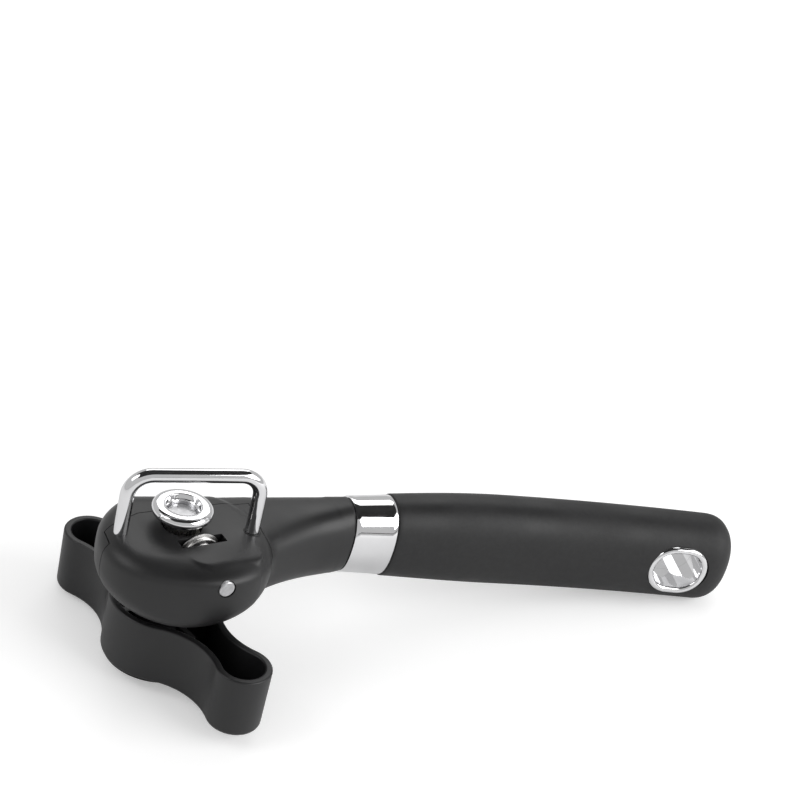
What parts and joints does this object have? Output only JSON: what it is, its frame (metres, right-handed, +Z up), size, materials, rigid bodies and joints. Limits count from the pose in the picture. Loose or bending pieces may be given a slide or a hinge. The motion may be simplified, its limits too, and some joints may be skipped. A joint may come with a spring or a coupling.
{
  "type": "manual can opener",
  "caption": "Can opener with a turning knob, a crown wheel and a cutting wheel on a round head under a wire guard, and an oval rubber grip with a chrome band and a hanging eye.",
  "frame": {"origin": "on the table, under the middle of the whole opener, as it lies on its knob and the end of its handle", "axes": "+X along the handle towards its end, +Z up from the table, with the crown wheel and wire guard on top; the cutter is on the -Y side"},
  "size_m": [0.2045, 0.0806, 0.0666],
  "materials": {
    "housing_black": "satin moulded plastic",
    "knob_black": "satin moulded plastic",
    "grip_black": "soft-touch, matte",
    "bright_chrome": "polished plating",
    "cutter_steel": "ground steel",
    "plain_steel": "turned steel",
    "bush_bronze": "plain bearing metal",
    "cam_nylon": "natural nylon",
    "core_grey": "moulded core"
  },
  "bodies": {
    "handle": {"front_housing": "housing_black", "rear_housing": "housing_black", "housing_screws": "plain_steel", "guard_wire": "bright_chrome", "cutter_washer": "plain_steel", "cutter_pin": "plain_steel", "handle_core": "core_grey", "core_screw": "plain_steel", "chrome_band": "bright_chrome", "grip_sleeve": "grip_black", "eye_liner_front": "bright_chrome", "eye_liner_back": "bright_chrome"},
    "cutter": {"cutter_wheel": "cutter_steel", "cutter_bush": "bush_bronze"},
    "cam": {"cam_bush": "cam_nylon"},
    "drive": {"cam_washer": "plain_steel", "spindle": "plain_steel", "feed_wheel": "cutter_steel", "crown_wheel": "bright_chrome", "thrust_washer": "plain_steel", "wave_spring": "plain_steel", "knob_shell": "knob_black", "hub_insert": "bush_bronze", "knob_screw": "plain_steel", "knob_cap": "knob_black"}
  },
  "joints": [
    {"name": "cam_turn", "type": "hinge", "parent": "handle", "child": "cam", "pos_m": [-0.07649, 0.00312, 0.04543], "axis": [0.0727, 0.0877, 0.9935], "range_deg": [0, 90]},
    {"name": "drive_spin", "type": "hinge", "parent": "cam", "child": "drive", "pos_m": [-0.07727, 0.00296, 0.0455], "axis": [0.0727, 0.0877, 0.9935], "continuous": true},
    {"name": "cutter_spin", "type": "hinge", "parent": "handle", "child": "cutter", "pos_m": [-0.07344, -0.00549, 0.04133], "axis": [0.2088, -0.9754, 0.0708], "continuous": true}
  ]
}
